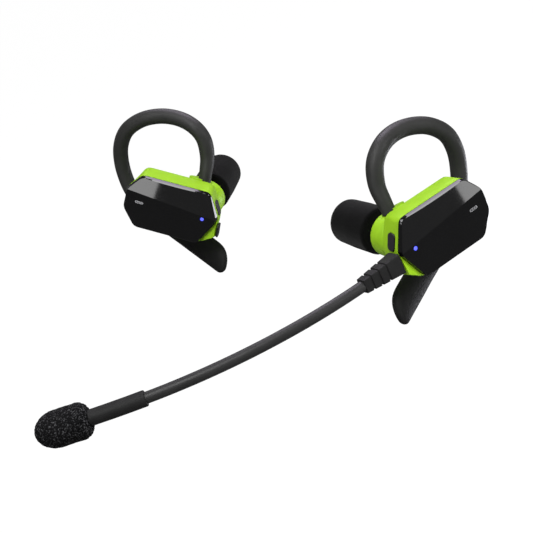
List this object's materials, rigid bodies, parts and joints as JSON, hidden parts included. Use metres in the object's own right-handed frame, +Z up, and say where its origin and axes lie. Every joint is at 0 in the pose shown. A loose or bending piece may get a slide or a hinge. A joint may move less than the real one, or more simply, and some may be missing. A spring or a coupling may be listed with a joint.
{
  "type": "in-ear aviation headset",
  "caption": "In-ear headset: left and right earpieces with lime housings, glossy covers, ear hooks and foam tips, and a plug-in boom microphone with a foam windscreen.",
  "frame": {"origin": "on the left ear tip's axis, in the middle of the stretch of foam that the ear grips", "axes": "+X towards the back of the wearer's head, +Y along the left ear tip into the ear, +Z up. The right earpiece is the mirror image of the left one, set down beside it and turned."},
  "size_m": [0.1503, 0.136, 0.0575],
  "materials": {
    "gloss_cover": "glossy black moulded cover",
    "lime_housing": "fine-textured lime green",
    "soft_grey": "soft-touch dark grey",
    "boom_grey": "satin dark grey",
    "foam": "open-cell black foam",
    "black_seal": "matt black",
    "silver": "satin",
    "steel": "satin",
    "board": "solder mask green",
    "light": "lit blue light guide"
  },
  "bodies": {
    "left_earpiece": {"left_cover": "gloss_cover", "left_seal": "black_seal", "left_shell": "lime_housing", "left_inner_housing": "lime_housing", "left_nozzle_mesh": "steel", "left_speaker": "steel", "left_battery": "silver", "left_circuit_board": "board", "left_button_switch": "steel", "left_status_light": "light", "left_mic_grille": "silver", "left_port_socket": "steel", "left_ear_hook": "soft_grey", "left_hook_wire": "steel"},
    "left_button": {"left_side_button": "soft_grey"},
    "left_tip": {"left_tip_core": "black_seal", "left_foam_tip": "foam"},
    "boom": {"boom_plug": "soft_grey", "boom_connector": "silver", "boom_tube": "boom_grey", "mic_sleeve": "soft_grey", "mic_capsule": "steel"},
    "boom_windscreen": {"windscreen": "foam"},
    "right_earpiece": {"right_cover": "gloss_cover", "right_seal": "black_seal", "right_shell": "lime_housing", "right_inner_housing": "lime_housing", "right_nozzle_mesh": "steel", "right_speaker": "steel", "right_battery": "silver", "right_circuit_board": "board", "right_button_switch": "steel", "right_status_light": "light", "right_mic_grille": "silver", "right_port_socket": "steel", "right_ear_hook": "soft_grey", "right_hook_wire": "steel"},
    "right_button": {"right_side_button": "soft_grey"},
    "right_tip": {"right_tip_core": "black_seal", "right_foam_tip": "foam"},
    "port_cover": {"right_port_cover": "black_seal"}
  },
  "joints": [
    {"name": "left_button_press", "type": "slide", "parent": "left_earpiece", "child": "left_button", "axis": [0.9107, -0.1392, -0.3889], "range_m": [0, 0.0004], "stiffness_N_per_m": 250, "springref_m": -0.0015},
    {"name": "left_tip_pull", "type": "slide", "parent": "left_earpiece", "child": "left_tip", "axis": [0, 1, 0], "range_m": [0, 0.012]},
    {"name": "boom_unplug", "type": "slide", "parent": "left_earpiece", "child": "boom", "axis": [-1, 0, 0], "range_m": [0, 0.015]},
    {"name": "windscreen_pull", "type": "slide", "parent": "boom", "child": "boom_windscreen", "axis": [-0.8499, 0.527, 0], "range_m": [0, 0.012]},
    {"name": "right_earpiece_lift", "type": "slide", "parent": "left_earpiece", "child": "right_earpiece", "axis": [0, 0, 1], "range_m": [0, 0.08]},
    {"name": "right_button_press", "type": "slide", "parent": "right_earpiece", "child": "right_button", "axis": [-0.7514, 0.6515, 0.105], "range_m": [0, 0.0004], "stiffness_N_per_m": 250, "springref_m": -0.0015},
    {"name": "right_tip_pull", "type": "slide", "parent": "right_earpiece", "child": "right_tip", "axis": [0.7525, 0.6582, -0.0244], "range_m": [0, 0.012]},
    {"name": "port_cover_fold", "type": "hinge", "parent": "right_earpiece", "child": "port_cover", "pos_m": [-0.0172, 0.07079, -0.00867], "axis": [0.7525, 0.6582, -0.0244], "range_deg": [0, 110]}
  ]
}
